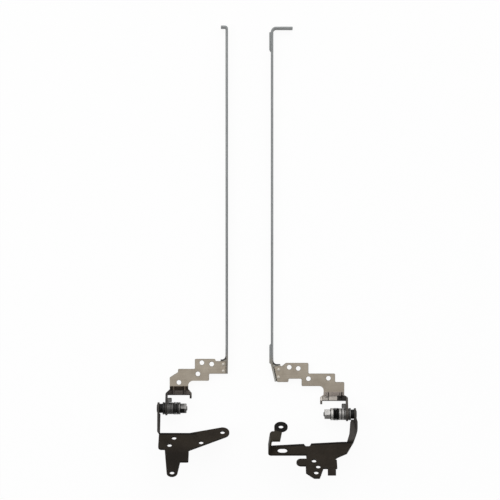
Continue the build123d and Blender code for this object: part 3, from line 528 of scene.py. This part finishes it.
# Shafts: turned steel pins, black oxide, with a head riveted over the arm, a collar that the arm bears
# on, a round journal, two milled flats that drive the washers, and a rolled thread for the nut.
# The thread's end is rubbed bright.
collar_radius = 0.0028
journal_radius = 0.0020
flats_half = 0.0015
thread_radius = 0.0015
thread_pitch = 0.0005
thread_depth = 0.00022
thread_lead = 0.0003
tip_chamfer = 0.0004
head_radius = 0.0026
head_dome = (0.0006, 0.0002)
arm_thickness = 0.0012
edge_break = 0.00018
around = 96


def turn_on_shaft(side, station, radius):
    """Surface turned about the shaft: row i, column j lies at station[i], at distance radius[i, j] from the
    axis, in the direction of angle j."""
    axis_y, axis_z = shaft_line(side)
    angle = np.linspace(0, 2 * np.pi, radius.shape[1], endpoint=False)
    x = np.broadcast_to(np.asarray(station).reshape(len(radius), -1), radius.shape)
    return np.stack([x, axis_y + radius * np.cos(angle), axis_z + radius * np.sin(angle)], axis=-1)


def shaft_surface(side):
    """Shaft by rows: radius is the turned profile, cut to the flats' half width over |sin angle| where
    the flats are milled, and less a triangle wave along the helix where the thread is rolled."""
    start, end = stations(side, "shaft")
    inward = 1 if end > start else -1
    collar_end = stations(side, "shoulder_washer")[0]
    arm_outer = start + inward * head_height
    arm_inner = start + inward * (head_height + arm_thickness)
    flats_start = stations(side, "friction_washers")[0]
    flats_end = stations(side, "pressure_washer")[1]
    rise = edge_break * inward
    profile = np.array([
        (start, 0), (start, head_radius - head_dome[0]), (start + rise, head_radius - head_dome[1]),
        (arm_outer, head_radius), (arm_outer, journal_radius), (arm_inner, journal_radius),
        (arm_inner, collar_radius - edge_break), (arm_inner + rise, collar_radius),
        (collar_end - rise, collar_radius), (collar_end, collar_radius - edge_break),
        (collar_end, journal_radius), (flats_start, journal_radius),
    ])
    milled = np.array([(flats_start, journal_radius), (flats_end, journal_radius)])
    thread_run = np.linspace(flats_end, end - rise, 120)
    angle = np.linspace(0, 2 * np.pi, around, endpoint=False)
    turned = np.repeat(profile[:, 1:], around, axis=1)
    flat = np.minimum(journal_radius, flats_half / np.maximum(np.abs(np.sin(angle)), 1e-6))
    flats = np.repeat(flat[None, :], len(milled), axis=0)
    turns = np.abs(thread_run[:, None] - flats_end) / thread_pitch - angle / (2 * np.pi)
    wave = np.abs(2 * (turns % 1) - 1)
    lead_in = np.clip(np.abs(end - rise - thread_run[:, None]) / thread_lead, 0, 1)
    thread = thread_radius - thread_depth * (1 - lead_in * wave)
    tip = np.array([(end, thread_radius - tip_chamfer), (end, 0)])
    closing = np.repeat(tip[:, 1:], around, axis=1)
    station = np.concatenate([profile[:, 0], milled[:, 0], thread_run, tip[:, 0]])
    return turn_on_shaft(side, station, np.concatenate([turned, flats, thread, closing]))


groove_half = 0.00026


def turned_steel(name, metallic, dark, light, roughness, bright_from=None, grooves=(), specular=0.4):
    """Turned steel: fine tool rings along the shaft, oily clouds, black grease at the stations of grooves,
    and a bright end past a station."""
    finish, shader, places = new_finish(name, metallic, specular)
    rings = places.grain(300, 3, (16, 0.6, 0.6))
    oil = places.grain(480, 3)
    tint = (rings * 0.5 + oil * 0.5).ramp(0.3, 0.7).blend(dark, light)
    for groove in grooves:
        tint = (places.along(0).near(groove, groove_half) * 0.9).blend(tint, rgba(0.004, 0.004, 0.004))
    if bright_from is not None:
        rubbed = places.along(0).ramp(*bright_from)
        tint = rubbed.blend(tint, rgba(0.24, 0.23, 0.22))
    tint.lay(shader, "Base Color")
    (roughness + oil * 0.2).lay(shader, "Roughness")
    roughen(places, shader, rings, 1.4e-5, 0.5)
    return finish


for side in sides:
    nut_start, nut_end = stations(side, "lock_nut")
    oxide = turned_steel(
        f"{side}_shaft_steel", 0.3, rgba(0.003, 0.003, 0.003), rgba(0.016, 0.015, 0.014), 0.36,
        (nut_start, nut_end) if side == "left" else None, specular=0.15,
    )
    pin = skin(f"{side}_shaft_pin", shaft_surface(side), oxide, False)
    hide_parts(f"{side}_shaft")
    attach(pin, f"{side}_base")

# Washers of the stack: punched steel rings, tumbled so that every edge is rounded. From the arm inwards
# they are a black shoulder washer, a thin thrust washer against the ear, two grey friction washers that
# turn with the flats, and a bright pressure washer under the nut.
washer_bore = 0.00205


def washer_surface(side, start, end, outer, squareness=9.0, cone=0.0):
    """Ring whose cross-section is a superellipse: offsets along the shaft and outwards are the signed
    powers 2/squareness of cos and sin. A cone moves the rim along the shaft as it goes outwards."""
    turn = np.linspace(0, 2 * np.pi, 56, endpoint=False)
    power = 2 / squareness
    along = np.sign(np.cos(turn)) * np.abs(np.cos(turn)) ** power
    out = np.sign(np.sin(turn)) * np.abs(np.sin(turn)) ** power
    radius = (outer + washer_bore) / 2 + (outer - washer_bore) / 2 * out
    station = (start + end) / 2 + (end - start) / 2 * along + cone * out
    return turn_on_shaft(side, station, np.repeat(radius[:, None], around, axis=1))


def ring_radius(side, node):
    """Outer radius of a ring: half the depth of its box."""
    low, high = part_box(f"{side}_{node}")
    return (high.z - low.z) / 2


def side_steels(node, count, metallic, left, right, roughness, specular=0.4):
    """Turned steel for the rings of a node on each side, from its dark and light level, with grease between
    the rings. The left stack is given darker levels, as painted shade."""
    return {
        side: turned_steel(
            f"{side}_{node}_steel", metallic, warm_grey(dark), warm_grey(light), roughness,
            grooves=np.linspace(*stations(side, node), count + 1).tolist(), specular=specular,
        )
        for side, (dark, light) in (("left", left), ("right", right))
    }


def warm_grey(level):
    return rgba(level, level * 0.975, level * 0.94)


black_ring = side_steels("shoulder_washer", 1, 0.35, (0.012, 0.050), (0.100, 0.190), 0.34)
thrust_ring = side_steels("thrust_washer", 1, 0.6, (0.020, 0.080), (0.120, 0.220), 0.36)
grey_ring = side_steels("friction_washers", 2, 0.6, (0.060, 0.160), (0.220, 0.400), 0.38)
bright_ring = side_steels("pressure_washer", 1, 0.6, (0.100, 0.220), (0.400, 0.580), 0.36)
plain_rings = (
    ("shoulder_washer", 1, black_ring, "black_washer"),
    ("thrust_washer", 1, thrust_ring, "grey_washer"),
    ("friction_washers", 2, grey_ring, "grey_washer"),
    ("pressure_washer", 1, bright_ring, "bright_washer"),
)
for side in sides:
    for node, count, finish, slot in plain_rings:
        start, end = stations(side, node)
        breaks = np.linspace(start, end, count + 1)
        outer = ring_radius(side, node)
        rings = [
            skin(f"{side}_{node}_ring_{number}", washer_surface(side, first, last, outer), finish[side], True)
            for number, (first, last) in enumerate(zip(breaks[:-1], breaks[1:]))
        ]
        ring = join_pieces(rings) if count > 1 else rings[0]
        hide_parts(f"{side}_{node}")
        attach(ring, f"{side}_base")

# Tab washers: spring steel washers with a tab folded over inwards and a pin that keys into the ear, so
# they stay with the lid while the friction washers turn on them. Greased, with a worn rim; the rims' dark
# tone is partly painted shade, and the left rims are darker still as painted shade.
tab_rounding = 0.00018
tab_face = side_steels("tab_washer", 1, 0.6, (0.080, 0.200), (0.085, 0.175), 0.38)
tab_rims = {
    "left": turned_steel("left_tab_rim", 0.5, warm_grey(0.008), warm_grey(0.040), 0.42, specular=0.25),
    "right": turned_steel("right_tab_rim", 0.5, warm_grey(0.012), warm_grey(0.060), 0.42, specular=0.25),
}
for side in sides:
    tab = eased_sheet(f"{side}_tab_washer", tab_rounding, (tab_face[side], tab_rims[side]))
    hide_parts(f"{side}_tab_washer")
    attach(tab, "lid_brackets")

# Spring washers: six thin conical discs of hardened spring steel, stacked in pairs rim to rim, oiled
# and black. They press the friction washers together.
spring_count = 6
spring_thickness = 0.00035
spring_cone = 0.00013
# The sides' tones differ as painted light and shade: the right discs are painted darker.
spring_blacks = {
    "left": turned_steel("left_spring_black", 0.4, warm_grey(0.014), warm_grey(0.045), 0.34, specular=0.25),
    "right": turned_steel("right_spring_black", 0.3, warm_grey(0.002), warm_grey(0.008), 0.36, specular=0.15),
}
for side in sides:
    start, end = stations(side, "spring_washers")
    inward = 1 if end > start else -1
    outer = ring_radius(side, "spring_washers")
    pitch = (end - start - inward * (spring_thickness + spring_cone)) / (spring_count - 1)
    discs = []
    for number in range(spring_count):
        first = start + pitch * number + inward * spring_cone / 2
        lean = inward * spring_cone / 2 * (1 if number % 2 == 0 else -1)
        shape = washer_surface(side, first, first + inward * spring_thickness, outer, 6.0, lean)
        discs.append(skin(f"{side}_spring_discs_{number}", shape, spring_blacks[side], True))
    springs = join_pieces(discs)
    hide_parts(f"{side}_spring_washers")
    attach(springs, f"{side}_base")

# Lock nuts: small zinc-plated hexagon nuts, turned off at both ends, that set the pressure of the springs.
# They are run down the thread and staked.
nut_half_flats = 0.00275
nut_bore = 0.00155
nut_chamfer = 0.0005
nut_cone = 1.4
nut_lip = 0.00025
nut_inset = 0.0002
hexagon_sharpness = 60


def nut_surface(side):
    """Hexagon nut by rows along the shaft: radius is the smaller of a cone at each end and a hexagon with
    softened corners, half the flats' width over the power mean of the cosines to its six faces."""
    start, end = stations(side, "lock_nut")
    angle = np.linspace(0, 2 * np.pi, around, endpoint=False)
    faces = np.arange(6)[:, None] * np.pi / 3
    facing = np.maximum(np.cos(angle[None, :] - faces), 0) ** hexagon_sharpness
    hexagon = nut_half_flats / facing.sum(axis=0) ** (1 / hexagon_sharpness)
    corner = nut_half_flats / np.cos(np.pi / 6)
    share = np.concatenate([np.linspace(0, 0.2, 14), np.linspace(0.25, 0.75, 4), np.linspace(0.8, 1, 14)])
    station = start + (end - start) * share
    depth = np.minimum(share, 1 - share) * abs(end - start)
    cone = corner - nut_chamfer + depth * nut_cone
    outside = np.minimum(cone[:, None], hexagon[None, :])
    lip = np.full((1, around), nut_bore + nut_lip)
    bore = np.full((1, around), nut_bore)
    inset = nut_inset * (1 if end > start else -1)
    rows = np.concatenate([bore, lip, outside, lip, bore])
    along = np.concatenate([[start + inset, start], station, [end, end - inset]])
    return turn_on_shaft(side, along, rows)


def nut_zinc(side, dark, light, worn):
    """Zinc plating with oily clouds, lighter at the free end, with a painted highlight on the flat above the
    shaft's middle, up to the corner where that flat ends, and painted shade below it. worn is how strongly
    these are laid on."""
    finish, shader, places = new_finish(f"{side}_nut_zinc", 0.6, 0.4)
    start, end = stations(side, "lock_nut")
    free_end = places.along(0).ramp(start + (end - start) * 0.62, start + (end - start) * 0.72)
    height = places.along(1) - shaft_line(side)[0]
    corner = height.ramp(-0.0001, 0.0003)
    flat = corner * (1 - height.ramp(0.0003, 0.0024))
    oil = places.grain(480, 3)
    tint = oil.ramp(0.3, 0.7).blend(warm_grey(dark), warm_grey(light))
    # Painted highlight on the upper flat and painted shade below its corner.
    tint = (flat * worn).blend(tint, warm_grey(0.24))
    tint = ((1 - corner) * worn).blend(tint, warm_grey(0.006))
    (free_end * worn).blend(tint, warm_grey(0.25)).lay(shader, "Base Color")
    (0.34 + oil * 0.2).lay(shader, "Roughness")
    roughen(places, shader, oil, 1.4e-5, 0.5)
    return finish


# The two nuts are lit and shaded copies: the left one is painted darker, and only it takes the painted
# highlight and shade.
for side, dark, light, worn in (("left", 0.030, 0.100, 0.85), ("right", 0.330, 0.520, 0.0)):
    nut = skin(f"{side}_nut", nut_surface(side), nut_zinc(side, dark, light, worn), True)
    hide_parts(f"{side}_lock_nut")
    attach(nut, f"{side}_base")

# Camera: straight above the pair and one metre up, as for a catalogue picture, with +Y at the top.
# Its long lens draws the pieces almost without perspective.
view_camera = bpy.data.cameras.new("view_camera")
view_camera.sensor_fit = "HORIZONTAL"
view_camera.sensor_width = 36
view_camera.lens = 119.64
camera = bpy.data.objects.new("view_camera", view_camera)
camera.location = (-0.00402, -0.000846, 1.0)
bpy.context.scene.collection.objects.link(camera)
bpy.context.scene.camera = camera

# Floor: a wide white paper sheet just under the pair, which keeps their shadow.
# It is lit up for the camera and for mirrors, so that it reads as white.
floor_half = 3.0
floor_gap = 0.00002
paper_glow = 0.93
floor_mesh = bpy.data.meshes.new("paper_floor")
floor_corners = [
    (floor_half * across, floor_half * upward, cad_box[0].z - floor_gap)
    for across, upward in ((-1, -1), (1, -1), (1, 1), (-1, 1))
]
floor_mesh.from_pydata(floor_corners, [], [(0, 1, 2, 3)])
floor = bpy.data.objects.new("paper_floor", floor_mesh)
bpy.context.scene.collection.objects.link(floor)
paper = bpy.data.materials.new("white_paper")
paper.use_nodes = True
paper_shader = paper.node_tree.nodes["Principled BSDF"]
paper_shader.inputs["Base Color"].default_value = rgba(0.93, 0.93, 0.93)
paper_shader.inputs["Roughness"].default_value = 0.9
paper_shader.inputs["Specular IOR Level"].default_value = 0.0
path_reader = paper.node_tree.nodes.new("ShaderNodeLightPath")
seen = Tone(paper.node_tree, path_reader.outputs["Is Camera Ray"])
mirrored = Tone(paper.node_tree, path_reader.outputs["Is Glossy Ray"])
through = Tone(paper.node_tree, path_reader.outputs["Is Transmission Ray"])
glow = seen.node("ShaderNodeEmission", {}, {"Color": rgba(1, 1, 1), "Strength": 1.0})
paper_skin = Tone(paper.node_tree, paper_shader.outputs[0])
shown = glow.node(
    "ShaderNodeMixShader", {}, {0: (seen + mirrored + through) * paper_glow, 1: paper_skin, 2: glow}
)
shown.tree.links.new(shown.socket, paper.node_tree.nodes["Material Output"].inputs["Surface"])
floor_mesh.materials.append(paper)

# Light: a pale room that is darker on the near side, a large soft lamp beyond the rails and a smaller,
# weaker one at the left.
room = bpy.data.worlds.new("pale_room")
room.use_nodes = True
bpy.context.scene.world = room
room_tree = room.node_tree
looking = Tone(room_tree, room_tree.nodes.new("ShaderNodeTexCoord").outputs["Generated"])
beyond = looking.along(1).ramp(-0.6, 0.5)
beyond.blend(rgba(0.12, 0.12, 0.12), rgba(0.98, 0.98, 0.98)).lay(room_tree.nodes["Background"], "Color")
room_tree.nodes["Background"].inputs["Strength"].default_value = 1.0


def soft_lamp(name, place, aim, size, watts):
    """Square area lamp at a place, turned to face a point."""
    lamp = bpy.data.lights.new(name, "AREA")
    lamp.size = size
    lamp.energy = watts
    holder = bpy.data.objects.new(name, lamp)
    holder.location = place
    towards = np.array(aim) - np.array(place)
    flat = np.hypot(towards[0], towards[1])
    holder.rotation_euler = (np.arctan2(flat, -towards[2]), 0, np.arctan2(-towards[0], towards[1]))
    bpy.context.scene.collection.objects.link(holder)


soft_lamp("lamp_beyond", (0.15, 0.75, 1.0), (0, -0.03, 0), 1.0, 5.0)
soft_lamp("lamp_left", (-0.7, -0.05, 0.8), (0, -0.05, 0), 0.5, 2.0)

bpy.context.scene.view_settings.view_transform = "Standard"
